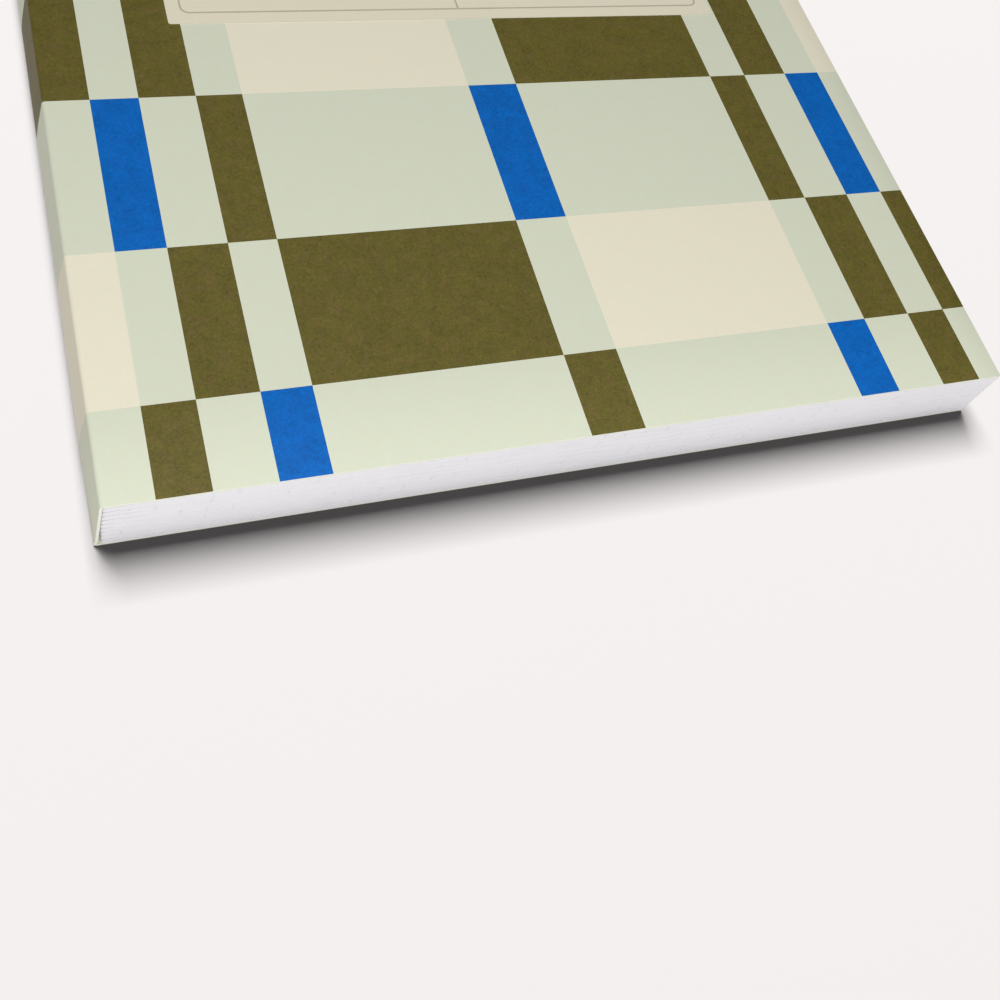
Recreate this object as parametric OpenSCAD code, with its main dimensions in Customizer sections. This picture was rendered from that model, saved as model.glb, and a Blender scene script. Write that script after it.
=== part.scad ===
// A soft-covered weekly planner with a sewn block of pages and a folded card cover.
// It lies on its back cover: X runs from the spine to the fore-edge, Y from tail to head, Z up.
// The origin is under the middle of the closed planner, on the surface that it lies on.

/* [Cover] */
// Width of the front cover, from its fold to the fore-edge
cover_w = 148; // [120:1:180]
// Height of the covers, from tail to head
cover_h = 210; // [180:1:260]
// Thickness of the cover card
card_t = 0.4; // [0.35:0.05:0.6]
// Radius round the outside of each fold of the card
fold_r = 0.3; // [0.15:0.05:0.3]
// How far the back fold stands out beyond the front fold
spine_lean = 1.2; // [0:0.1:1.5]

/* [Pages] */
// Thickness of one leaf
leaf_t = 0.157; // [0.08:0.001:0.2]
// Leaves in one sewn signature
leaves_per_signature = 8; // [4:4:16]
// Sewn signatures in the block
signature_count = 9; // [4:1:14]
// Clearance between the signature folds and the spine card, beside the front cover
spine_gap = 0.1; // [0.05:0.05:0.5]

/* [Print] */
// Width of a wide column of the check
wide_col = 39.6; // [30:0.1:50]
// Width of a medium column of the check
mid_col = 9; // [5:0.1:15]
// Width of a narrow column of the check
narrow_col = 7.5; // [4:0.1:12]
// Part of the wide column at the spine that lies on the front cover
first_col_front = 7.2; // [4:0.1:15]
// Height of a tall row of the check
tall_row = 29.7; // [20:0.1:40]
// Height of a medium row of the check
mid_row = 26.2; // [20:0.1:40]
// Height of a low row of the check
low_row = 24.5; // [20:0.1:40]
// Part of the lowest row that is left above the trimmed tail edge
first_row = 14.3; // [5:0.1:20]
// Depth of the printed colour fields in the card
print_t = 0.06; // [0.04:0.01:0.1]
// Strip of ground left along each side of a colour field
field_gap = 0.02; // [0.01:0.01:0.05]

/* [Label] */
// Width of the pasted title label
label_w = 104.4; // [80:0.1:110]
// Height of the title label
label_h = 37.4; // [30:0.1:80]
// Thickness of the label's paper
label_t = 0.12; // [0.08:0.02:0.3]
// Corner radius of the label
label_r = 0.4; // [0.2:0.1:2]
// Distance from the label's edge to its printed rule
rule_inset = 2.3; // [1.5:0.1:4]
// Width of the printed rule
rule_w = 0.35; // [0.2:0.05:0.6]
// Depth of the printed rule in the label's paper
rule_t = 0.04; // [0.02:0.01:0.06]
// Outer corner radius of the printed rule
rule_r = 1.6; // [1:0.1:3]
// Height of the row of two fields at the foot of the label
foot_row = 12; // [8:0.5:16]

/* [Hidden] */

signature_t = leaf_t * leaves_per_signature;
block_t = signature_t * signature_count;
total_t = block_t + 2 * card_t;
total_w = cover_w + spine_lean;

back_fold_x = -total_w / 2;
front_fold_x = back_fold_x + spine_lean;
fore_edge_x = total_w / 2;
tail_y = -cover_h / 2;
block_x = front_fold_x + card_t + spine_gap;

// The pattern's columns repeat in sixes and its rows in threes.
col_repeat = 6;
row_repeat = 3;
period_w = 2 * (wide_col + mid_col + narrow_col);
period_h = tall_row + mid_row + low_row;
sheet_w = 2 * total_w + total_t;
col_count = col_repeat * ceil(sheet_w / period_w);
row_count = row_repeat * (1 + ceil(cover_h / period_h));

arc_steps = 5;
fold_steps = 8;
cut_over = 0.1;

mint = [0.86, 0.88, 0.79];
cream = [0.91, 0.89, 0.8];
olive = [0.42, 0.37, 0.19];
blue = [0.05, 0.38, 0.72];
paper = [0.93, 0.93, 0.94];
rule_tan = [0.72, 0.69, 0.6];

// Remainder of a division that is never negative
function wrap(a, b) = ((a % b) + b) % b;

function total(list, n = 0) = n < len(list) ? list[n] + total(list, n + 1) : 0;

// Width of a column, counted from the one that wraps the spine
function col_width(i) =
    let (k = wrap(i, col_repeat))
    k == 0 || k == 4 ? wide_col : k == 1 || k == 3 ? narrow_col : mid_col;

// Height of a row, counted up from the tail
function row_height(j) =
    let (k = wrap(j, row_repeat))
    k == 0 ? low_row : k == 1 ? mid_row : tall_row;

// Start of a column across the unfolded sheet, measured from the front fold towards the fore-edge
function col_start(i) =
    i > 0
    ? first_col_front + total([for (k = [1 : 1 : i - 1]) col_width(k)])
    : first_col_front - total([for (k = [i : 1 : 0]) col_width(k)]);

// Start of a row above the tail edge
function row_start(j) = first_row - low_row + total([for (k = [0 : 1 : j - 1]) row_height(k)]);

// Colour of the field in one column and row of the check
function tint_of(i, j) =
    wrap(i + j, 2) == 0 ? "mint"
    : wrap(j, 2) == 0 ? (wrap((i - 1) / 2 + j / 2, 2) == 0 ? "olive" : "blue")
    : wrap(i / 2 + (j - 1) / 2, 3) == 0 ? "cream" : "olive";

// Left, right, lower and upper limits of every field of one tint between two places on the sheet
function field_limits(tint, from_u, to_u) = [
    for (i = [-col_count : col_count], j = [0 : row_count])
        let (
            left = max(from_u, col_start(i)) + field_gap,
            right = min(to_u, col_start(i + 1)) - field_gap,
            lower = max(0, row_start(j)) + field_gap,
            upper = min(cover_h, row_start(j + 1)) - field_gap
        )
        if (tint_of(i, j) == tint && right > left && upper > lower)
            [left, right, lower, upper]
];

// Outline of a rectangle with rounded corners, centred on the origin
function rounded_outline(w, h, r) = [
    for (corner = [0 : 3], step = [0 : arc_steps])
        let (
            angle = 90 * corner + 90 * step / arc_steps,
            side_x = corner == 0 || corner == 3 ? 1 : -1,
            side_y = corner < 2 ? 1 : -1
        )
        [side_x * (w / 2 - r) + r * cos(angle), side_y * (h / 2 - r) + r * sin(angle)]
];

// Section of a cover panel that lies flat, with its fold edge at x = 0 rounded above
function panel_section(w) = concat(
    [for (step = [0 : arc_steps])
        let (angle = 180 - 90 * step / arc_steps)
        [fold_r + fold_r * cos(angle), card_t - fold_r + fold_r * sin(angle)]],
    [[w, card_t], [w, 0], [0, 0]]
);

// Place of the spine card's outer face at a height
function spine_x(z) =
    front_fold_x - spine_lean * (total_t - card_t - z) / (total_t - 2 * card_t);

// Section of the block: each signature ends in a rounded fold at the spine
function block_section() = concat(
    [for (s = [0 : signature_count - 1], step = [0 : fold_steps])
        if (s == 0 || step > 0)
            let (angle = 180 * step / fold_steps)
            [block_x + signature_t / 2 * (1 - sin(angle)),
             card_t + signature_t * s + signature_t / 2 * (1 - cos(angle))]],
    [[fore_edge_x, card_t + block_t], [fore_edge_x, card_t]]
);

// An x-z section drawn out between two places along Y
module along_y(from_y, to_y, section) {
    translate([0, to_y, 0])
        rotate([90, 0, 0])
            linear_extrude(height = to_y - from_y)
                polygon(section);
}

// Fields of one tint on a flat panel, with the panel's outer face at z = 0 and depth below it
module flat_fields(tint, from_u, to_u, over = 0) {
    for (f = field_limits(tint, from_u, to_u))
        translate([f[0], tail_y + f[2], -print_t])
            cube([f[1] - f[0], f[3] - f[2], print_t + over]);
}

module front_fields(tint, over = 0) {
    translate([front_fold_x, 0, total_t])
        flat_fields(tint, fold_r, cover_w, over);
}

module back_fields(tint, over = 0) {
    translate([back_fold_x - total_t, 0, 0])
        rotate([0, 180, 0])
            flat_fields(tint, -total_t - total_w, -total_t - fold_r, over);
}

// Fields of one tint on the leaning outer face of the spine card
module spine_fields(tint, over = 0) {
    for (f = field_limits(tint, card_t - total_t, -card_t)) {
        low = total_t + f[0];
        high = total_t + f[1];
        along_y(tail_y + f[2], tail_y + f[3], [
            [spine_x(low) - over, low],
            [spine_x(high) - over, high],
            [spine_x(high) + print_t, high],
            [spine_x(low) + print_t, low]
        ]);
    }
}

module page_block() {
    color(paper)
        along_y(tail_y, tail_y + cover_h, block_section());
}

module spine_cover() {
    foot = card_t;
    top = total_t - card_t;
    color(mint)
        difference() {
            along_y(tail_y, tail_y + cover_h, [
                [spine_x(foot), foot],
                [spine_x(top), top],
                [spine_x(top) + card_t, top],
                [spine_x(foot) + card_t, foot]
            ]);
            for (tint = ["olive", "cream", "blue"])
                spine_fields(tint, cut_over);
        }
}

module front_cover() {
    color(mint)
        difference() {
            translate([front_fold_x, 0, total_t - card_t])
                along_y(tail_y, tail_y + cover_h, panel_section(cover_w));
            for (tint = ["olive", "cream", "blue"])
                front_fields(tint, cut_over);
        }
}

module back_cover() {
    color(mint)
        difference() {
            translate([back_fold_x, 0, card_t])
                mirror([0, 0, 1])
                    along_y(tail_y, tail_y + cover_h, panel_section(total_w));
            for (tint = ["olive", "cream", "blue"])
                back_fields(tint, cut_over);
        }
}

// The printed frame on the label, with its foot row and the upright between its two fields
module rule_lines(over = 0) {
    frame_w = label_w - 2 * rule_inset;
    frame_h = label_h - 2 * rule_inset;
    translate([0, 0, -rule_t])
        linear_extrude(height = rule_t + over) {
            difference() {
                polygon(rounded_outline(frame_w, frame_h, rule_r));
                polygon(rounded_outline(frame_w - 2 * rule_w, frame_h - 2 * rule_w, rule_r - rule_w));
            }
            translate([-frame_w / 2 + rule_w / 2, foot_row - frame_h / 2])
                square([frame_w - rule_w, rule_w]);
            translate([-rule_w / 2, rule_w / 2 - frame_h / 2])
                square([rule_w, foot_row]);
        }
}

// Moves a child to the top face of the label
module on_label() {
    translate([front_fold_x + cover_w / 2, 0, total_t + label_t])
        children();
}

module title_label() {
    color(cream)
        difference() {
            on_label()
                translate([0, 0, -label_t])
                    linear_extrude(height = label_t)
                        polygon(rounded_outline(label_w, label_h, label_r));
            on_label()
                rule_lines(cut_over);
        }
}

module label_rule() {
    color(rule_tan)
        on_label()
            rule_lines();
}

module front_olive_print() {
    color(olive)
        front_fields("olive");
}

module front_blue_print() {
    color(blue)
        front_fields("blue");
}

module front_cream_print() {
    color(cream)
        front_fields("cream");
}

module spine_olive_print() {
    color(olive)
        spine_fields("olive");
}

module spine_cream_print() {
    color(cream)
        spine_fields("cream");
}

module back_olive_print() {
    color(olive)
        back_fields("olive");
}

module back_blue_print() {
    color(blue)
        back_fields("blue");
}

module back_cream_print() {
    color(cream)
        back_fields("cream");
}

page_block();
spine_cover();
front_cover();
back_cover();
title_label();
label_rule();
front_olive_print();
front_blue_print();
front_cream_print();
spine_olive_print();
spine_cream_print();
back_olive_print();
back_blue_print();
back_cream_print();
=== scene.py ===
"""The looks of a soft-covered, sewn weekly planner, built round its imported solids.

It lies on its back cover: X runs from the spine to the fore-edge, Y from tail to head, Z up, in metres.
"""

import logging
import math
import random
from collections.abc import Callable, Iterable, Sequence
from dataclasses import dataclass, field
from enum import Enum
from typing import Any

import bmesh
import bpy
from mathutils import Matrix, Vector


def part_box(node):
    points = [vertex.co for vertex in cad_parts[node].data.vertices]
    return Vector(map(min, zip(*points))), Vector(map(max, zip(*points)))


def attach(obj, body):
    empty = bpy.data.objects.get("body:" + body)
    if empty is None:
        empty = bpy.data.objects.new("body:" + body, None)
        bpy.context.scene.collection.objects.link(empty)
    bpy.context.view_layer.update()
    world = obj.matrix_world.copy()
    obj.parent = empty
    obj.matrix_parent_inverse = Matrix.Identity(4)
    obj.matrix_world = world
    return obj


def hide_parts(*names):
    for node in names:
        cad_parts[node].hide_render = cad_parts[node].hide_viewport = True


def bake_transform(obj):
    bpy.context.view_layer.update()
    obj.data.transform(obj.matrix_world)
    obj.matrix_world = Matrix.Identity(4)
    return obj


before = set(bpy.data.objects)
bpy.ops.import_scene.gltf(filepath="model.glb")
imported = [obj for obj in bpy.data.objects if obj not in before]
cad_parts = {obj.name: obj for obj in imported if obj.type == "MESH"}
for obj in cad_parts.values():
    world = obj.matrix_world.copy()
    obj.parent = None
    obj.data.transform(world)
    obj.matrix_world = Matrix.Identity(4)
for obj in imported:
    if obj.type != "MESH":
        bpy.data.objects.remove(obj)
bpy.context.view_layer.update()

LOG = logging.getLogger("planner")
MM = 0.001
CLOSE = 1e-6  # two places nearer than this are one, in metres


def linear(red: int, green: int, blue: int) -> tuple[float, float, float, float]:
    """Turns an 8-bit colour, as it looks on a screen, into a shader's colour.

    Args:
        red: Red from 0 to 255.
        green: Green from 0 to 255.
        blue: Blue from 0 to 255.

    Returns:
        The linear colour with full alpha.
    """
    def channel(value: int) -> float:
        """Undoes the screen's curve on one channel."""
        share = value / 255
        return share / 12.92 if share <= 0.04045 else ((share + 0.055) / 1.055) ** 2.4

    return (channel(red), channel(green), channel(blue), 1.0)


class Panel(Enum):
    """The two halves of the folded cover, each turning on its own fold."""

    FRONT = "front"
    BACK = "back"


class Tint(Enum):
    """What a face of the cover's card shows; the value is its material's place on the sheet."""

    MINT = 0
    OLIVE = 1
    BLUE = 2
    CREAM = 3
    LINING = 4
    CORE = 5
    # glue on the spine's inner face, its colour darkened as painted shade of that recess
    GLUE = 6


class Sock:
    """An output of a shader node, on which Python's arithmetic adds Math nodes."""

    def __init__(self, shader: "Shader", socket: bpy.types.NodeSocket) -> None:
        """Keeps the shader and the output."""
        self.shader = shader
        self.socket = socket

    def math(self, operation: str, *others: Any) -> "Sock":
        """Adds one Math node.

        Args:
            operation: The Math node's operation.
            others: Its second and third values, as outputs or numbers.

        Returns:
            The node's output.
        """
        values = {place: value for place, value in enumerate((self, *others))}
        return self.shader.node("ShaderNodeMath", {"operation": operation}, values)

    def __add__(self, other: Any) -> "Sock":
        """Adds a value."""
        return self.math("ADD", other)

    def __sub__(self, other: Any) -> "Sock":
        """Takes a value away."""
        return self.math("SUBTRACT", other)

    def __rsub__(self, other: float) -> "Sock":
        """Takes this from a number."""
        return (self * -1.0) + other

    def __mul__(self, other: Any) -> "Sock":
        """Multiplies by a value."""
        return self.math("MULTIPLY", other)

    def __truediv__(self, other: Any) -> "Sock":
        """Divides by a value."""
        return self.math("DIVIDE", other)

    __radd__ = __add__
    __rmul__ = __mul__

    def floor(self) -> "Sock":
        """Rounds down."""
        return self.math("FLOOR")

    def fraction(self) -> "Sock":
        """Leaves what is past the whole number."""
        return self.math("FRACT")

    def absolute(self) -> "Sock":
        """Drops the sign."""
        return self.math("ABSOLUTE")

    def above(self, limit: Any) -> "Sock":
        """Gives 1 where this is more than a limit, and otherwise 0."""
        return self.math("GREATER_THAN", limit)

    def below(self, limit: Any) -> "Sock":
        """Gives 1 where this is less than a limit, and otherwise 0."""
        return self.math("LESS_THAN", limit)

    def ramp(self, low: float, high: float) -> "Sock":
        """Rises smoothly from 0 at one value to 1 at another.

        Args:
            low: Where the rise starts.
            high: Where it ends.

        Returns:
            The share risen.
        """
        settings = {"interpolation_type": "SMOOTHSTEP"}
        values = {"Value": self, "From Min": low, "From Max": high}
        return self.shader.node("ShaderNodeMapRange", settings, values)


class Shader:
    """The node tree of a material or a world under construction."""

    def __init__(self, owner: bpy.types.Material | bpy.types.World) -> None:
        """Starts an empty tree.

        Args:
            owner: The material or the world that it belongs to.
        """
        self.owner = owner
        owner.use_nodes = True
        self.tree = owner.node_tree
        self.tree.nodes.clear()

    def node(self, kind: str, settings: dict[str, Any], values: dict[Any, Any], output: Any = 0) -> Sock:
        """Adds a node of any type.

        Args:
            kind: The node's type.
            settings: What is set on the node itself, before its sockets.
            values: The sockets' numbers or links, by name or place.
            output: The output to hand back, by name or place.

        Returns:
            That output.
        """
        made = self.tree.nodes.new(kind)
        for key, value in settings.items():
            setattr(made, key, value)
        for key, value in values.items():
            if isinstance(value, Sock):
                self.tree.links.new(value.socket, made.inputs[key])
            else:
                made.inputs[key].default_value = value
        return Sock(self, made.outputs[output])

    def place(self) -> Sock:
        """Gives the point's place on the object, in metres."""
        return self.node("ShaderNodeTexCoord", {}, {}, "Object")

    def axis(self, vector: Sock, letter: str) -> Sock:
        """Gives one axis of a vector."""
        return self.node("ShaderNodeSeparateXYZ", {}, {0: vector}, letter)

    def vector(self, x: Any, y: Any, z: Any) -> Sock:
        """Makes a vector from three values."""
        return self.node("ShaderNodeCombineXYZ", {}, {0: x, 1: y, 2: z})

    def noise(self, vector: Sock, size: float, detail: float = 2.0) -> Sock:
        """Gives smooth noise.

        Args:
            vector: Where it is read.
            size: The size of its features, in the vector's own unit.
            detail: How many finer layers it has.

        Returns:
            The noise, about 0.5 on average.
        """
        values = {"Vector": vector, "Scale": 1 / size, "Detail": detail}
        return self.node("ShaderNodeTexNoise", {"noise_type": "FBM"}, values)

    def random(self, vector: Sock) -> Sock:
        """Gives a random value from 0 to 1 for each value of a vector."""
        return self.node("ShaderNodeTexWhiteNoise", {}, {"Vector": vector}, "Value")

    def mix(self, share: Any, first: Any, second: Any) -> Sock:
        """Mixes two colours.

        Args:
            share: How much of the second.
            first: The first colour.
            second: The second colour.

        Returns:
            The mixed colour.
        """
        # a Mix node's inputs 6 and 7 and its output 2 are those for colours
        values = {0: share, 6: first, 7: second}
        return self.node("ShaderNodeMix", {"data_type": "RGBA"}, values, 2)

    def scaled(self, colour: Any, factor: Sock) -> Sock:
        """Makes a colour lighter or darker by a factor."""
        values = {0: colour if isinstance(colour, Sock) else colour[:3], 3: factor}
        return self.node("ShaderNodeVectorMath", {"operation": "SCALE"}, values)

    def bump(self, height: Sock, depth: float, strength: float) -> Sock:
        """Turns a height into a shading normal.

        Args:
            height: The height, from 0 to 1.
            depth: The real depth of that height, in metres.
            strength: How much of it shows.

        Returns:
            The normal.
        """
        values = {"Height": height, "Distance": depth, "Strength": strength}
        return self.node("ShaderNodeBump", {}, values)

    def surface(self, colour: Any, roughness: Any, normal: Sock, specular: float) -> bpy.types.Material:
        """Ends the material with its surface.

        Args:
            colour: The base colour.
            roughness: The roughness.
            normal: The shading normal.
            specular: The strength of its gloss.

        Returns:
            The finished material.
        """
        values = {"Base Color": colour, "Roughness": roughness, "Normal": normal}
        values["Specular IOR Level"] = specular
        return self.finish("ShaderNodeBsdfPrincipled", values)

    def finish(self, kind: str, values: dict[Any, Any]) -> Any:
        """Ends the tree with one last shader, which its output shows.

        Args:
            kind: The last shader's type.
            values: Its sockets' numbers or links.

        Returns:
            The finished material or world.
        """
        shown = self.node(kind, {}, values)
        is_world = isinstance(self.owner, bpy.types.World)
        end = self.tree.nodes.new("ShaderNodeOutputWorld" if is_world else "ShaderNodeOutputMaterial")
        self.tree.links.new(shown.socket, end.inputs["Surface"])
        return self.owner


def paint(name: str) -> Shader:
    """Starts a new material of that name."""
    return Shader(bpy.data.materials.new(name))


@dataclass(frozen=True)
class InkedCard:
    """Uncoated card under an even layer of ink, which lies unevenly on the paper's tooth and fibres."""

    name: str
    colour: tuple[int, int, int]
    tooth: float = 0.02
    fibre: float = 0.01
    cloud: float = 0.01
    hue_drift: float = 0.0
    drift_colour: tuple[int, int, int] = (255, 255, 255)
    roughness: float = 0.6
    roughness_spread: float = 0.2
    specular: float = 0.25
    tooth_size: float = 0.42 * MM
    tooth_relief: float = 0.7
    fibre_size: float = 0.8 * MM
    fibre_width: float = 0.07
    fibre_detail: float = 1.0
    fibre_relief: float = 0.3
    light_level: float = 0.46
    dark_level: float = 0.58
    light_patches: tuple[float, float] = (0.42, 0.6)
    dark_patches: tuple[float, float] = (0.58, 0.4)
    patch_scale: float = 2.7
    cloud_size: float = 4.5 * MM
    drift_scale: float = 0.45
    drift_limits: tuple[float, float] = (0.35, 0.75)
    relief: float = 0.02 * MM
    relief_shown: float = 0.5

    def fibres(self, shader: Shader, place: Sock) -> tuple[Sock, Sock]:
        """Gives thin, curled fibres where a smooth noise passes two values.

        Args:
            shader: The material under construction.
            place: The point's place on the object.

        Returns:
            How much of a light fibre and of a dark one shows at each point.
        """
        bent = shader.noise(place, self.fibre_size, self.fibre_detail)
        patches = shader.noise(place, self.fibre_size * self.patch_scale, self.fibre_detail)
        light = (bent - self.light_level).absolute().ramp(self.fibre_width, 0.0)
        dark = (bent - self.dark_level).absolute().ramp(self.fibre_width, 0.0)
        return light * patches.ramp(*self.light_patches), dark * patches.ramp(*self.dark_patches)

    def material(self) -> bpy.types.Material:
        """Builds the material.

        Returns:
            The finished material.
        """
        shader = paint(self.name)
        place = shader.place()
        tooth = shader.noise(place, self.tooth_size, 2.5)
        cloud = shader.noise(place, self.cloud_size, 3.0)
        light, dark = self.fibres(shader, place)
        tone = 1.0 + (tooth - 0.5) * (2 * self.tooth) + (cloud - 0.5) * (2 * self.cloud)
        tone = tone + (light - dark) * self.fibre
        base: Any = linear(*self.colour)
        if self.hue_drift:
            drift = shader.noise(place, self.cloud_size * self.drift_scale).ramp(*self.drift_limits)
            base = shader.mix(drift * self.hue_drift, base, linear(*self.drift_colour))
        shown = shader.scaled(base, tone)
        roughness = (tooth - 0.5) * self.roughness_spread + self.roughness
        height = tooth * self.tooth_relief + light * self.fibre_relief
        normal = shader.bump(height, self.relief, self.relief_shown)
        return shader.surface(shown, roughness, normal, self.specular)


@dataclass(frozen=True)
class BareCard:
    """Bare card at the cover's cut edges and on its inner side, or dried glue inside the spine, whose colour
    is darkened as painted shade of the spine's recess.
    """

    name: str
    colour: tuple[int, int, int]
    streak: float = 0.06
    roughness: float = 0.9
    specular: float = 0.25
    grain_size: float = 0.25 * MM
    ply_size: float = 0.09 * MM
    relief: float = 0.02 * MM
    relief_shown: float = 0.4

    def material(self) -> bpy.types.Material:
        """Builds the material.

        Returns:
            The finished material.
        """
        shader = paint(self.name)
        place = shader.place()
        grain = shader.noise(place, self.grain_size, 3.0)
        height = shader.vector(0.0, 0.0, shader.axis(place, "Z"))
        plies = shader.noise(height, self.ply_size)
        tone = 1.0 + (grain - 0.5) * self.streak + (plies - 0.5) * self.streak
        colour = shader.scaled(linear(*self.colour), tone)
        normal = shader.bump(grain, self.relief, self.relief_shown)
        return shader.surface(colour, self.roughness, normal, self.specular)


@dataclass(frozen=True)
class TrimmedLeaves:
    """White leaves: each edge has its own tone, and the printed rules reach the trimmed tail and head."""

    name: str
    half_height: float
    leaf: float
    colour: tuple[int, int, int] = (234, 233, 236)
    shade: tuple[int, int, int] = (222, 221, 227)
    rule: tuple[int, int, int] = (120, 116, 128)
    rule_pitch: float = 3.65 * MM
    rule_width: float = 0.34 * MM
    rule_slant: float = 0.15
    rule_share: float = 0.28
    rule_leaves: float = 0.42
    rule_wander: float = 0.1
    rule_tone: float = 0.17
    rule_depth: float = 0.1 * MM
    leaves_per_signature: int = 8
    leaf_tone: float = 0.35
    drift_tone: float = 0.9
    broad_tone: float = 0.6
    drift_size: float = 0.5 * MM
    drift_stretch: float = 0.08
    broad_size: float = 30 * MM
    grain_size: float = 0.2 * MM
    relief: float = 0.015 * MM
    relief_shown: float = 0.4
    roughness: float = 0.9
    specular: float = 0.2

    def marks(self, shader: Shader, x: Sock, y: Sock, z: Sock) -> Sock:
        """Gives the dots where the printed rules meet the trimmed edges.

        Args:
            shader: The material under construction.
            x: Place across the page.
            y: Place up the page.
            z: Height in the block.

        Returns:
            How much of a mark shows at each point.
        """
        # the last number of each random vector only sets one draw apart from the next
        across = (x - z * self.rule_slant) / self.rule_pitch
        leaf = (z / self.leaf).floor()
        column = across.floor()
        wander = (shader.random(shader.vector(leaf, column, 3.0)) - 0.5) * self.rule_wander
        half_width = self.rule_width / self.rule_pitch / 2
        near = ((across.fraction() - 0.5) + wander).absolute().below(half_width)
        group = (z / (self.leaf * self.leaves_per_signature)).floor()
        shown = shader.random(shader.vector(column, group, 7.0)).below(self.rule_share)
        leaf_shown = shader.random(shader.vector(leaf, column, 11.0)).below(self.rule_leaves)
        trimmed = y.absolute().above(self.half_height - self.rule_depth)
        return near * shown * leaf_shown * trimmed

    def material(self) -> bpy.types.Material:
        """Builds the material.

        Returns:
            The finished material.
        """
        shader = paint(self.name)
        place = shader.place()
        x, y, z = (shader.axis(place, letter) for letter in "XYZ")
        leaf = (z / self.leaf).floor()
        own = shader.random(shader.vector(leaf, 1.0, 1.0))
        stretched = shader.vector(x * self.drift_stretch, y * self.drift_stretch, z)
        drift = shader.noise(stretched, self.drift_size)
        broad = shader.noise(place, self.broad_size)
        share = own * self.leaf_tone + (drift - 0.5) * self.drift_tone + (broad - 0.5) * self.broad_tone
        base = shader.mix(share.ramp(0.0, 1.0), linear(*self.colour), linear(*self.shade))
        shown = shader.mix(self.marks(shader, x, y, z) * self.rule_tone, base, linear(*self.rule))
        grain = shader.noise(place, self.grain_size)
        normal = shader.bump(grain, self.relief, self.relief_shown)
        return shader.surface(shown, self.roughness, normal, self.specular)


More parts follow.
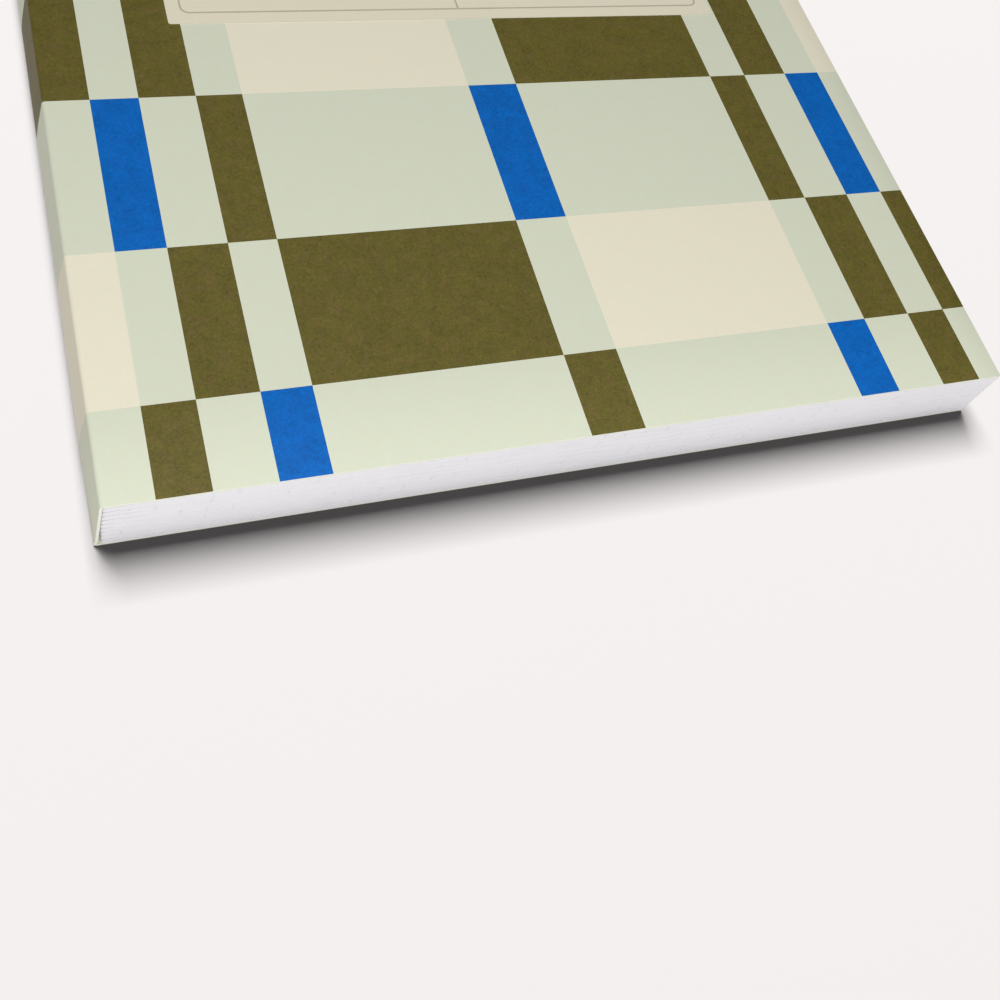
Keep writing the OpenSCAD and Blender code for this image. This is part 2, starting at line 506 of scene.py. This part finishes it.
class Modeller:
    """Small steps of work on one mesh, as they are done by hand."""

    @staticmethod
    def take(*parts: bpy.types.Object) -> None:
        """Ends any editing and selects just these objects.

        Args:
            parts: The objects; the first becomes the active one.
        """
        if bpy.context.object is not None and bpy.context.object.mode != "OBJECT":
            bpy.ops.object.mode_set(mode="OBJECT")
        bpy.ops.object.select_all(action="DESELECT")
        for part in parts:
            part.select_set(True)
        if parts:
            bpy.context.view_layer.objects.active = parts[0]

    @staticmethod
    def plane(name: str, low: Vector, high: Vector) -> bpy.types.Object:
        """Adds a level rectangle between two corners.

        Args:
            name: The object's name.
            low: Its lowest corner.
            high: Its highest corner, at the same height.

        Returns:
            The object, with its place in its mesh.
        """
        Modeller.take()
        bpy.ops.mesh.primitive_plane_add(size=1, location=(low + high) / 2)
        made = bpy.context.object
        made.name = name
        made.data.name = name
        made.scale = (high.x - low.x, high.y - low.y, 1)
        bpy.ops.object.transform_apply(location=True, rotation=True, scale=True)
        return made

    @staticmethod
    def edit(made: bpy.types.Object, mode: str) -> None:
        """Opens a mesh for editing.

        Args:
            made: The object.
            mode: What is selected: VERT, EDGE or FACE.
        """
        Modeller.take(made)
        bpy.ops.object.mode_set(mode="EDIT")
        bpy.ops.mesh.select_mode(type=mode)
        bpy.ops.mesh.select_all(action="DESELECT")

    @staticmethod
    def close() -> None:
        """Ends editing."""
        bpy.ops.object.mode_set(mode="OBJECT")

    @staticmethod
    def pick(made: bpy.types.Object, kind: str, test: Callable[[Any], bool]) -> None:
        """Selects just the parts of an open mesh that pass a test.

        Args:
            made: The object, open for editing.
            kind: Which parts: verts, edges or faces.
            test: Says whether a part is selected.
        """
        bpy.ops.mesh.select_all(action="DESELECT")
        mesh = bmesh.from_edit_mesh(made.data)
        for part in filter(test, getattr(mesh, kind)):
            part.select_set(True)
        bmesh.update_edit_mesh(made.data)

    @staticmethod
    def slice(made: bpy.types.Object, axis: int, places: Iterable[float]) -> None:
        """Cuts an open mesh through at places along an axis.

        Args:
            made: The object, open for editing; not used.
            axis: 0, 1 or 2 for X, Y or Z.
            places: Where it is cut.
        """
        normal = [0.0, 0.0, 0.0]
        normal[axis] = 1.0
        for place in places:
            bpy.ops.mesh.select_all(action="SELECT")
            point = [0.0, 0.0, 0.0]
            point[axis] = place
            bpy.ops.mesh.bisect(plane_co=point, plane_no=normal)

    @staticmethod
    def draw_out(steps: Iterable[Vector]) -> None:
        """Extrudes the selected edges through a chain of steps."""
        for step in steps:
            bpy.ops.mesh.extrude_region_move(TRANSFORM_OT_translate={"value": tuple(step)})

    @staticmethod
    def apply(made: bpy.types.Object, kind: str, settings: dict[str, Any]) -> None:
        """Adds a modifier and applies it.

        Args:
            made: The object.
            kind: The modifier's type.
            settings: Its settings.
        """
        Modeller.take(made)
        modifier = made.modifiers.new(kind.title(), kind)
        for key, value in settings.items():
            setattr(modifier, key, value)
        bpy.ops.object.modifier_apply(modifier=modifier.name)

    @staticmethod
    def thicken(made: bpy.types.Object, thickness: float, offset: float) -> None:
        """Gives a sheet its thickness, with offset -1 below its face and 0 about its middle."""
        settings = {"thickness": thickness, "offset": offset, "use_even_offset": True}
        Modeller.apply(made, "SOLIDIFY", settings)

    @staticmethod
    def smooth(made: bpy.types.Object, degrees: float) -> None:
        """Shades a mesh smooth across its shallow edges."""
        Modeller.take(made)
        bpy.ops.object.shade_smooth_by_angle(angle=math.radians(degrees))

    @staticmethod
    def join(parts: Sequence[bpy.types.Object], name: str) -> bpy.types.Object:
        """Joins several objects to one.

        Args:
            parts: The objects.
            name: The joined object's name.

        Returns:
            The joined object.
        """
        Modeller.take(*parts)
        bpy.ops.object.join()
        made = bpy.context.object
        made.name = name
        made.data.name = name
        return made

    @staticmethod
    def copy(source: bpy.types.Object, step: Vector) -> bpy.types.Object:
        """Copies an object with its own mesh and moves the copy.

        Args:
            source: The object.
            step: How far the copy is moved.

        Returns:
            The copy, with its place in its mesh.
        """
        Modeller.take(source)
        bpy.ops.object.duplicate(linked=False)
        bpy.ops.transform.translate(value=tuple(step))
        bpy.ops.object.transform_apply(location=True, rotation=True, scale=True)
        return bpy.context.object


@dataclass(frozen=True)
class CheckPrint:
    """The uneven check on the unfolded cover: columns repeat in sixes and rows in threes.

    Places across are measured from the front fold towards the fore-edge, and places up from the tail.
    """

    wide_col: float = 39.6 * MM
    mid_col: float = 9 * MM
    narrow_col: float = 7.5 * MM
    tall_row: float = 29.7 * MM
    mid_row: float = 26.2 * MM
    low_row: float = 24.5 * MM
    first_col_front: float = 7.2 * MM
    first_row: float = 14.3 * MM
    most: int = 24

    def column_start(self, column: int) -> float:
        """Gives where a column starts.

        Args:
            column: Its number; column 0 wraps the spine.

        Returns:
            Its place across the sheet.
        """
        widths = (self.wide_col, self.narrow_col, self.mid_col, self.narrow_col, self.wide_col, self.mid_col)
        if column > 0:
            return self.first_col_front + sum(widths[k % 6] for k in range(1, column))
        return self.first_col_front - sum(widths[k % 6] for k in range(column, 1))

    def row_start(self, row: int) -> float:
        """Gives where a row starts; row 0 is cut by the tail."""
        heights = (self.low_row, self.mid_row, self.tall_row)
        return self.first_row - self.low_row + sum(heights[k % 3] for k in range(row))

    def columns(self, low: float, high: float) -> list[float]:
        """Gives the columns' limits between two places across the sheet."""
        starts = (self.column_start(column) for column in range(-self.most, self.most))
        return [start for start in starts if low < start < high]

    def rows(self, height: float) -> list[float]:
        """Gives the rows' limits up to a height."""
        starts = (self.row_start(row) for row in range(self.most))
        return [start for start in starts if 0 < start < height]

    def tint(self, across: float, up: float) -> Tint:
        """Gives the tint at a place.

        Args:
            across: Place across the unfolded sheet.
            up: Place up from the tail.

        Returns:
            The field's tint.
        """
        column = max(k for k in range(-self.most, self.most) if self.column_start(k) <= across)
        row = max(k for k in range(self.most) if self.row_start(k) <= up)
        if (column + row) % 2 == 0:
            return Tint.MINT
        if row % 2 == 0:
            return Tint.OLIVE if ((column - 1) // 2 + row // 2) % 2 == 0 else Tint.BLUE
        return Tint.CREAM if (column // 2 + (row - 1) // 2) % 3 == 0 else Tint.OLIVE


@dataclass
class CoverSheet:
    """One half of the folded card: a flat panel, its rounded fold and its share of the spine."""

    panel: Panel
    check: CheckPrint
    fold_radius: float = 0.55 * MM
    fold_steps: int = 6
    guard_step: float = 0.25 * MM
    guard_cuts: int = 7
    seam_height: float = 1.3 * MM
    spine_steps: int = 8
    belly_height: float = 2.85 * MM
    belly_rise: float = 0.25
    belly_power: int = 5
    foot_return: float = 0.25 * MM
    end_lean: float = 0.8 * MM
    crease_steps: dict[Panel, float] = field(default_factory=lambda: {Panel.FRONT: 3.5, Panel.BACK: 4.5})
    crease_reach: float = 0.018 * MM
    edge_round: float = 0.05 * MM
    edge_steps: int = 2
    edge_angle: float = 60.0
    smooth_angle: float = 35.0
    made: bpy.types.Object = field(init=False)

    def __post_init__(self) -> None:
        """Reads the sheet's place from the frame."""
        front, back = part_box("front_cover"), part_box("back_cover")
        self.card = front[1].z - front[0].z
        self.top = front[1].z
        self.front_fold, self.back_fold = front[0].x, back[0].x
        self.fore_edge = front[1].x
        self.tail, self.head = front[0].y, front[1].y
        self.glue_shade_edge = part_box("page_block")[0].x
        self.is_front = self.panel is Panel.FRONT
        self.side = self.front_fold if self.is_front else self.spine_place(self.fold_radius)
        self.level = self.top if self.is_front else 0.0
        self.down = -1.0 if self.is_front else 1.0

    def spine_place(self, height: float) -> float:
        """Gives how far out the spine's face stands, as it leans and bulges.

        Args:
            height: The height on the spine.

        Returns:
            The place along X.
        """
        lean = self.front_fold - self.back_fold
        share = (self.top - self.fold_radius - height) / (self.top - self.fold_radius - self.belly_height)
        if share > 1:
            below = (self.belly_height - height) / self.belly_height
            return self.back_fold + self.foot_return * below**2
        bulged = (1 + self.belly_rise) * share - self.belly_rise * share**self.belly_power
        return self.front_fold - lean * bulged

    def fold_centre(self) -> Vector:
        """Gives the middle of the fold's round."""
        return Vector((self.side + self.fold_radius, 0, self.level + self.down * self.fold_radius))

    def spine_heights(self) -> list[float]:
        """Gives the heights of this half's points on the spine.

        Returns:
            The heights from the fold down; the back half has only the seam's.
        """
        if not self.is_front:
            return [self.seam_height]
        start, end = self.top - self.fold_radius, self.seam_height
        return [start + (end - start) * step / self.spine_steps for step in range(1, self.spine_steps + 1)]

    def route(self) -> list[Vector]:
        """Gives the outer face's points from the flat panel round the fold to the seam.

        Returns:
            The points in order.
        """
        centre = self.fold_centre()
        points = []
        for step in range(self.fold_steps + 1):
            angle = math.pi / 2 * step / self.fold_steps
            turned = Vector((-math.sin(angle), 0, -self.down * math.cos(angle)))
            points.append(centre + self.fold_radius * turned)
        return points + [Vector((self.spine_place(height), 0, height)) for height in self.spine_heights()]

    def cut_lines(self) -> list[float]:
        """Gives where the flat panel is cut along X: at the check's columns, and close to the fold.

        The cuts close to the fold keep its smooth shading off the flat panel.

        Returns:
            The places along X.
        """
        edge = self.side + self.fold_radius
        near = [edge + self.guard_step * step for step in range(1, self.guard_cuts + 1)]
        if self.is_front:
            starts = self.check.columns(self.fold_radius, self.fore_edge - self.front_fold)
            return near + [self.front_fold + start for start in starts]
        reach = self.fore_edge - self.back_fold
        starts = self.check.columns(-self.top - reach, -self.top - self.fold_radius)
        return near + [self.back_fold - self.top - start for start in starts]

    def across(self, point: Vector) -> float:
        """Gives a point's place across the unfolded sheet.

        Args:
            point: The point, on the outer face.

        Returns:
            The place, measured as the check's columns are.
        """
        if self.is_front:
            return point.x - self.front_fold + min(0.0, point.z - self.top)
        flat = point.z < self.fold_radius / 2
        return -self.top - (point.x - self.back_fold) if flat else -self.top + point.z

    def dress(self, outer: int, finishes: dict[Tint, bpy.types.Material]) -> None:
        """Gives every face its finish.

        Args:
            outer: How many faces the outer face has; they come first, and the inner ones follow.
            finishes: The materials by tint.
        """
        for tint in Tint:
            self.made.data.materials.append(finishes[tint])
        for face in self.made.data.polygons:
            if face.index >= 2 * outer:
                tint = Tint.CORE
            elif face.index >= outer:
                # inner faces within the spine take the glue colour, darkened as painted shade of the recess
                tint = Tint.GLUE if face.center.x < self.glue_shade_edge else Tint.LINING
            else:
                tint = self.check.tint(self.across(face.center), face.center.y - self.tail)
            face.material_index = tint.value

    def at_end(self, place: Vector, height: float) -> bool:
        """Says whether a place lies at a height, at the tail or the head."""
        return abs(place.z - height) < CLOSE and abs(place.y) > self.head - CLOSE

    def draw_in_ends(self) -> None:
        """Draws the spine's face in at the tail and the head, where it stands straighter."""
        start = self.top - self.fold_radius
        for height in self.spine_heights():
            Modeller.pick(self.made, "verts", lambda v: self.at_end(v.co, height))
            straight = self.front_fold - self.end_lean * (start - height) / (start - self.seam_height)
            bpy.ops.transform.translate(value=(straight - self.spine_place(height), 0, 0))

    def round_edges(self) -> None:
        """Takes the sharpness off the three trimmed edges."""
        Modeller.edit(self.made, "EDGE")

        def trimmed(edge: bmesh.types.BMEdge) -> bool:
            """Says whether an edge runs along a trimmed side, where two faces meet at a right angle.

            Args:
                edge: The edge.

            Returns:
                Whether it does.
            """
            if len(edge.link_faces) != 2 or edge.calc_face_angle(0.0) < math.radians(self.edge_angle):
                return False
            middle = (edge.verts[0].co + edge.verts[1].co) / 2
            along = (edge.verts[1].co - edge.verts[0].co).normalized()
            at_end = min(abs(middle.y - self.tail), abs(middle.y - self.head)) < CLOSE
            at_fore = abs(middle.x - self.fore_edge) < CLOSE
            return (at_end and abs(along.y) < 0.1) or (at_fore and abs(along.y) > 0.9)

        Modeller.pick(self.made, "edges", trimmed)
        bpy.ops.mesh.bevel(offset=self.edge_round, segments=self.edge_steps, affect="EDGES")
        Modeller.close()

    def build(self, finishes: dict[Tint, bpy.types.Material]) -> bpy.types.Object:
        """Models the sheet with its rounded fold.

        Args:
            finishes: The materials by tint.

        Returns:
            The finished piece.
        """
        points = self.route()
        low = Vector((points[0].x, self.tail, self.level))
        high = Vector((self.fore_edge, self.head, self.level))
        self.made = Modeller.plane(f"{self.panel.value}_cover_sheet", low, high)
        Modeller.edit(self.made, "EDGE")
        if not self.is_front:
            bpy.ops.mesh.select_all(action="SELECT")
            bpy.ops.mesh.flip_normals()
        start = points[0].x
        Modeller.pick(self.made, "edges", lambda e: all(abs(v.co.x - start) < CLOSE for v in e.verts))
        Modeller.draw_out(after - before for before, after in zip(points, points[1:]))
        Modeller.slice(self.made, 0, self.cut_lines())
        Modeller.slice(self.made, 1, [self.tail + up for up in self.check.rows(self.head - self.tail)])
        self.draw_in_ends()
        Modeller.close()
        outer = len(self.made.data.polygons)
        Modeller.thicken(self.made, self.card, -1.0)
        self.dress(outer, finishes)
        self.round_edges()
        Modeller.smooth(self.made, self.smooth_angle)
        centre = self.fold_centre()
        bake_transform(self.made)
        return self.made


@dataclass
class PageBlock:
    """Nine sewn signatures of nested folded sheets, each with a rounded fold at the spine."""

    signatures: int = 9
    sheets: int = 4
    fold_steps: int = 8
    paper_share: float = 0.9
    near_stations: tuple[float, ...] = (0.4 * MM, 0.9 * MM, 1.8 * MM, 3.2 * MM, 5 * MM, 6.5 * MM)
    open_signatures: int = 3
    open_reach: float = 6.5 * MM
    notch_reach: float = 1.3 * MM
    open_pinch: float = 0.16
    notch_pinch: float = 0.18
    fold_reach: tuple[float, ...] = (0.46, 0.46, 0.46, 0.45, 0.42, 0.34, 0.26, 0.18, 0.1)
    trim_wander: float = 0.02 * MM
    margin: float = 0.01 * MM
    smooth_angle: float = 40.0
    seed: int = 11

    def __post_init__(self) -> None:
        """Reads the block's place from the frame."""
        self.low, self.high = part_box("page_block")
        self.signature = (self.high.z - self.low.z) / self.signatures
        self.leaf = self.signature / (2 * self.sheets)

    def sheet(self, nest: int, rng: random.Random) -> bpy.types.Object:
        """Models one folded sheet of the lowest signature.

        Args:
            nest: Its place in the nest, from 0 at the outside.
            rng: Draws how far its trimmed edges wander.

        Returns:
            The sheet as a closed mesh.
        """
        radius = self.signature / 2 - (nest + 0.5) * self.leaf
        centre = Vector((self.low.x + self.signature / 2, 0, self.low.z + self.signature / 2))
        wander = Vector((rng.uniform(-1, 0), rng.uniform(0, 1), rng.uniform(-1, 0))) * self.trim_wander
        level = centre.z + radius
        low = Vector((centre.x, self.low.y + wander.y, level))
        high = Vector((self.high.x + wander.x, self.high.y + wander.z, level))
        made = Modeller.plane(f"folded_sheet_{nest}", low, high)
        Modeller.edit(made, "EDGE")
        Modeller.pick(made, "edges", lambda e: all(abs(v.co.x - low.x) < CLOSE for v in e.verts))
        arc = []
        for step in range(self.fold_steps + 1):
            angle = math.pi * step / self.fold_steps
            arc.append(centre + radius * Vector((-math.sin(angle), 0, math.cos(angle))))
        Modeller.draw_out(after - before for before, after in zip(arc, arc[1:]))
        Modeller.draw_out([Vector((high.x - centre.x, 0, 0))])
        Modeller.slice(made, 0, [centre.x + reach for reach in self.near_stations])
        Modeller.close()
        Modeller.thicken(made, self.leaf * self.paper_share, 0.0)
        return made

    def pinch(self, made: bpy.types.Object, middle: float, reach: float, share: float) -> None:
        """Draws a signature in towards its middle near the fold, which opens a gap beside it.

        Args:
            made: The signature.
            middle: The height of its middle.
            reach: How far from the fold the gap runs.
            share: How much thinner it is at the fold.
        """
        Modeller.edit(made, "VERT")
        fold = self.low.x + self.signature / 2
        for station in (0.0, *self.near_stations):
            if station >= reach:
                continue
            place = fold + station
            if station == 0.0:
                Modeller.pick(made, "verts", lambda v: v.co.x < place + self.margin)
            else:
                Modeller.pick(made, "verts", lambda v: abs(v.co.x - place) < self.margin)
            factor = 1 - share * (1 - station / reach)
            centre = (0, 0, middle)
            bpy.ops.transform.resize(value=(1, 1, factor), center_override=centre)
        Modeller.close()

    def settle(self, made: bpy.types.Object, place: int) -> None:
        """Draws a signature's fold out towards the spine, as far as its reach in millimetres.

        Args:
            made: The signature.
            place: Its place in the block, from 0 at the foot.
        """
        Modeller.edit(made, "VERT")
        limit = self.low.x + self.signature / 2 + self.margin
        Modeller.pick(made, "verts", lambda v: v.co.x < limit)
        bpy.ops.transform.translate(value=(-self.fold_reach[place] * MM, 0, 0))
        Modeller.close()

    def build(self, finish: bpy.types.Material) -> bpy.types.Object:
        """Models the block from copies of one signature.

        Args:
            finish: The leaves' material.

        Returns:
            The finished piece.
        """
        rng = random.Random(self.seed)
        made = []
        for place in range(self.signatures):
            parts = [self.sheet(nest, rng) for nest in range(self.sheets)]
            whole = Modeller.join(parts, f"signature_{place}")
            moved = Modeller.copy(whole, Vector((0, 0, self.signature * place)))
            bpy.data.objects.remove(whole)
            middle = self.low.z + self.signature * (place + 0.5)
            is_open = place >= self.signatures - self.open_signatures
            reach = self.open_reach if is_open else self.notch_reach
            self.pinch(moved, middle, reach, self.open_pinch if is_open else self.notch_pinch)
            self.settle(moved, place)
            made.append(moved)
        block = Modeller.join(made, "sewn_page_block")
        block.data.materials.append(finish)
        Modeller.smooth(block, self.smooth_angle)
        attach(block, "block")
        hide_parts("page_block")
        return block


@dataclass
class TitleLabel:
    """A blank paper label with a printed rule round it and two fields at its foot."""

    corner: float = 0.4 * MM
    corner_steps: int = 6
    rule_inset: float = 2.3 * MM
    rule_width: float = 0.35 * MM
    rule_corner: float = 1.6 * MM
    rule_rise: float = 0.006 * MM
    foot_row: float = 12 * MM

    def __post_init__(self) -> None:
        """Reads the label's place from the frame."""
        self.low, self.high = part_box("title_label")

    def round_corners(self, made: bpy.types.Object, radius: float) -> None:
        """Rounds the corners of a flat rectangle.

        Args:
            made: The rectangle.
            radius: The radius of its corners.
        """
        Modeller.edit(made, "VERT")
        bpy.ops.mesh.select_all(action="SELECT")
        bpy.ops.mesh.bevel(offset=radius, segments=self.corner_steps, affect="VERTICES")
        Modeller.close()

    def paper(self, finish: bpy.types.Material) -> bpy.types.Object:
        """Models the label's paper, just so much lower that the rule's ink ends at the label's top.

        Args:
            finish: The paper's material.

        Returns:
            The finished piece.
        """
        top = self.high.z - self.rule_rise
        low = Vector((self.low.x, self.low.y, top))
        made = Modeller.plane("label_paper", low, Vector((self.high.x, self.high.y, top)))
        self.round_corners(made, self.corner)
        Modeller.edit(made, "FACE")
        bpy.ops.mesh.select_all(action="SELECT")
        bpy.ops.mesh.inset(thickness=self.corner)
        Modeller.close()
        Modeller.thicken(made, top - self.low.z, -1.0)
        made.data.materials.append(finish)
        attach(made, "front")
        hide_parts("title_label")
        return made

    def rule(self, finish: bpy.types.Material) -> bpy.types.Object:
        """Models the printed rule as a film of ink on the label.

        Args:
            finish: The ink's material.

        Returns:
            The finished piece.
        """
        inset = Vector((self.rule_inset, self.rule_inset, 0))
        low = Vector((self.low.x, self.low.y, self.high.z)) + inset
        high = self.high - inset
        ring = Modeller.plane("label_ring", low, high)
        self.round_corners(ring, self.rule_corner)
        Modeller.edit(ring, "FACE")
        bpy.ops.mesh.select_all(action="SELECT")
        bpy.ops.mesh.inset(thickness=self.rule_width)
        middle = (low + high) / 2
        Modeller.pick(ring, "faces", lambda f: (f.calc_center_median() - middle).length < MM)
        bpy.ops.mesh.delete(type="FACE")
        Modeller.close()
        foot = low.y + self.foot_row
        bar_low = Vector((low.x + self.rule_width, foot, low.z))
        bar_high = Vector((high.x - self.rule_width, foot + self.rule_width, low.z))
        bar = Modeller.plane("label_bar", bar_low, bar_high)
        half = self.rule_width / 2
        upright_low = Vector((middle.x - half, low.y + self.rule_width, low.z))
        upright_high = Vector((middle.x + half, foot, low.z))
        upright = Modeller.plane("label_upright", upright_low, upright_high)
        made = Modeller.join([ring, bar, upright], "label_rule_ink")
        Modeller.thicken(made, 2 * self.rule_rise, -1.0)
        made.data.materials.append(finish)
        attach(made, "front")
        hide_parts("label_rule")
        return made


class Lit(Enum):
    """What a lamp shines on."""

    FLOOR = "floor"
    PLANNER = "planner"


@dataclass(frozen=True)
class SoftBox:
    """A large rectangular lamp with an even face.

    Its place is measured from the middle of the closed planner, and it faces a point that is given too.
    """

    name: str
    lit: Lit
    level: float
    place: tuple[float, float, float]
    aim: tuple[float, float, float]
    size: tuple[float, float]

    def hang(self, floor: bpy.types.Object) -> None:
        """Adds the lamp, so bright that a sheet facing it at its aim shows its level.

        Args:
            floor: The floor, which takes only some of the lamps.
        """
        span = Vector(self.aim) - Vector(self.place)
        lamp = bpy.data.lights.new(self.name, "AREA")
        lamp.shape = "RECTANGLE"
        lamp.size, lamp.size_y = self.size
        lamp.energy = self.level * math.pi**2 * span.length_squared
        made = bpy.data.objects.new(self.name, lamp)
        bpy.context.scene.collection.objects.link(made)
        made.location = self.place
        made.rotation_euler = span.to_track_quat("-Z", "Y").to_euler()
        group = bpy.data.collections.new(f"{self.name}_receivers")
        group.objects.link(floor)
        state = "INCLUDE" if self.lit is Lit.FLOOR else "EXCLUDE"
        group.collection_objects[0].light_linking.link_state = state
        made.light_linking.receiver_collection = group


@dataclass
class Studio:
    """A plain pale floor, soft light and the photograph's view."""

    floor_colour: tuple[int, int, int] = (244, 240, 239)
    floor_size: float = 5.0
    floor_drop: float = 0.02 * MM
    sky_level: float = 0.065
    boxes: tuple[SoftBox, ...] = (
        SoftBox("floor_box", Lit.FLOOR, 1.12, (-0.1, 1.95, 5.0), (0, 0, 0), (2.2, 3.1)),
        SoftBox("front_box", Lit.PLANNER, 0.43, (-0.05, -0.5, 0.7), (0, -0.05, 0), (0.4, 0.3)),
        SoftBox("near_box", Lit.PLANNER, 0.45, (-0.12, -0.32, 0.27), (-0.03, -0.1, 0), (0.3, 0.2)),
        SoftBox("low_box", Lit.PLANNER, 0.12, (0.05, -0.8, 0.12), (0, -0.1, 0), (0.6, 0.2)),
        SoftBox("gloss_box", Lit.PLANNER, 0.22, (0.012, 0.055, 0.69), (-0.044, -0.085, 0.012), (0.2, 0.2)),
    )
    focal_pixels: float = 1212.6
    frame_pixels: float = 1000.0
    clip_start: float = 5 * MM
    centre_pixel: tuple[float, float] = (480.0, 382.0)
    camera_from_corner: tuple[float, float, float] = (-4.821 * MM, -69.358 * MM, 150.221 * MM)
    camera_right: tuple[float, float, float] = (0.93431, -0.2681, 0.23491)
    camera_down: tuple[float, float, float] = (-0.11757, -0.85392, -0.50694)

    def floor(self) -> bpy.types.Object:
        """Lays the floor, a hair below the planner.

        Returns:
            The floor.
        """
        half = self.floor_size / 2
        low = -self.floor_drop
        made = Modeller.plane("floor", Vector((-half, -half, low)), Vector((half, half, low)))
        values = {"Color": linear(*self.floor_colour), "Roughness": 0.0}
        made.data.materials.append(paint("floor_paint").finish("ShaderNodeBsdfDiffuse", values))
        return made

    def sky(self) -> None:
        """Sets an even, dim sky, which the camera sees in the floor's colour."""
        shader = Shader(bpy.data.worlds.new("sky"))
        ray = shader.node("ShaderNodeLightPath", {}, {}, "Is Camera Ray")
        white = {"Color": (1.0, 1.0, 1.0, 1.0), "Strength": self.sky_level}
        lit = shader.node("ShaderNodeBackground", {}, white)
        seen = shader.node("ShaderNodeBackground", {}, {"Color": linear(*self.floor_colour)})
        bpy.context.scene.world = shader.finish("ShaderNodeMixShader", {0: ray, 1: lit, 2: seen})

    def camera(self) -> None:
        """Places the camera as in the photograph, from the cover's tail corner at the front fold."""
        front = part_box("front_cover")
        corner = Vector((front[0].x, front[0].y, front[1].z))
        right = Vector(self.camera_right).normalized()
        up = -Vector(self.camera_down).normalized()
        back = right.cross(up)
        lens = bpy.data.cameras.new("camera")
        lens.lens = self.focal_pixels / self.frame_pixels * lens.sensor_width
        lens.shift_x = 0.5 - self.centre_pixel[0] / self.frame_pixels
        lens.shift_y = self.centre_pixel[1] / self.frame_pixels - 0.5
        lens.clip_start = self.clip_start
        made = bpy.data.objects.new("camera", lens)
        bpy.context.scene.collection.objects.link(made)
        turn = Matrix((right, up, back)).transposed().to_4x4()
        made.matrix_world = Matrix.Translation(corner + Vector(self.camera_from_corner)) @ turn
        bpy.context.scene.camera = made

    def build(self) -> None:
        """Sets up the whole studio."""
        bpy.context.scene.view_settings.view_transform = "Standard"
        self.camera()
        floor = self.floor()
        self.sky()
        for box in self.boxes:
            box.hang(floor)


def card_finishes() -> dict[Tint, bpy.types.Material]:
    """Makes the cover's finishes.

    Returns:
        The materials by tint.
    """
    mint = InkedCard("mint_card", (218, 223, 201), cloud=0.008, hue_drift=0.5, drift_colour=(220, 222, 198))
    olive = InkedCard("olive_ink", (98, 91, 34), 0.36, 0.2, 0.08, 0.7, (106, 91, 46), specular=0.3)
    blue = InkedCard("blue_ink", (0, 100, 186), 0.17, 0.2, 0.05, 0.5, (16, 96, 184), specular=0.18)
    finishes = {
        Tint.MINT: mint,
        Tint.OLIVE: olive,
        Tint.BLUE: blue,
        Tint.CREAM: InkedCard("cream_ink", (238, 232, 209), cloud=0.008),
        Tint.LINING: BareCard("card_lining", (238, 237, 231)),
        Tint.CORE: BareCard("card_core", (229, 231, 217)),
        # glue colour darkened to stand in for the shade inside the spine
        Tint.GLUE: BareCard("glue_with_painted_shade", (198, 201, 179), streak=0.2, roughness=0.6),
    }
    return {tint: finish.material() for tint, finish in finishes.items()}


def main() -> None:
    """Builds the planner and the studio."""
    logging.basicConfig(level=logging.INFO, format="%(name)s: %(message)s")
    studio = Studio()
    studio.build()
    LOG.info("studio set")
    finishes = card_finishes()
    check = CheckPrint()
    front = CoverSheet(Panel.FRONT, check).build(finishes)
    front_nodes = ("front_cover", "front_olive_print", "front_blue_print", "front_cream_print")
    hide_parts(*front_nodes, "spine_cover", "spine_olive_print", "spine_cream_print")
    LOG.info("front cover and spine: %d faces", len(front.data.polygons))
    back = CoverSheet(Panel.BACK, check).build(finishes)
    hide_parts("back_cover", "back_olive_print", "back_blue_print", "back_cream_print")
    LOG.info("back cover: %d faces", len(back.data.polygons))
    pages = PageBlock()
    leaves = TrimmedLeaves("page_paper", pages.high.y, pages.leaf)
    block = pages.build(leaves.material())
    LOG.info("page block: %d faces", len(block.data.polygons))
    label = TitleLabel()
    label.paper(InkedCard("label_paper", (233, 226, 203)).material())
    label.rule(InkedCard("rule_ink", (190, 183, 160), tooth=0.1, fibre=0.05).material())
    LOG.info("title label")
    # light that the planner throws back would wash out the deep shadow at its foot
    for piece in (front, back, block):
        piece.visible_diffuse = False


if __name__ == "__main__":
    main()
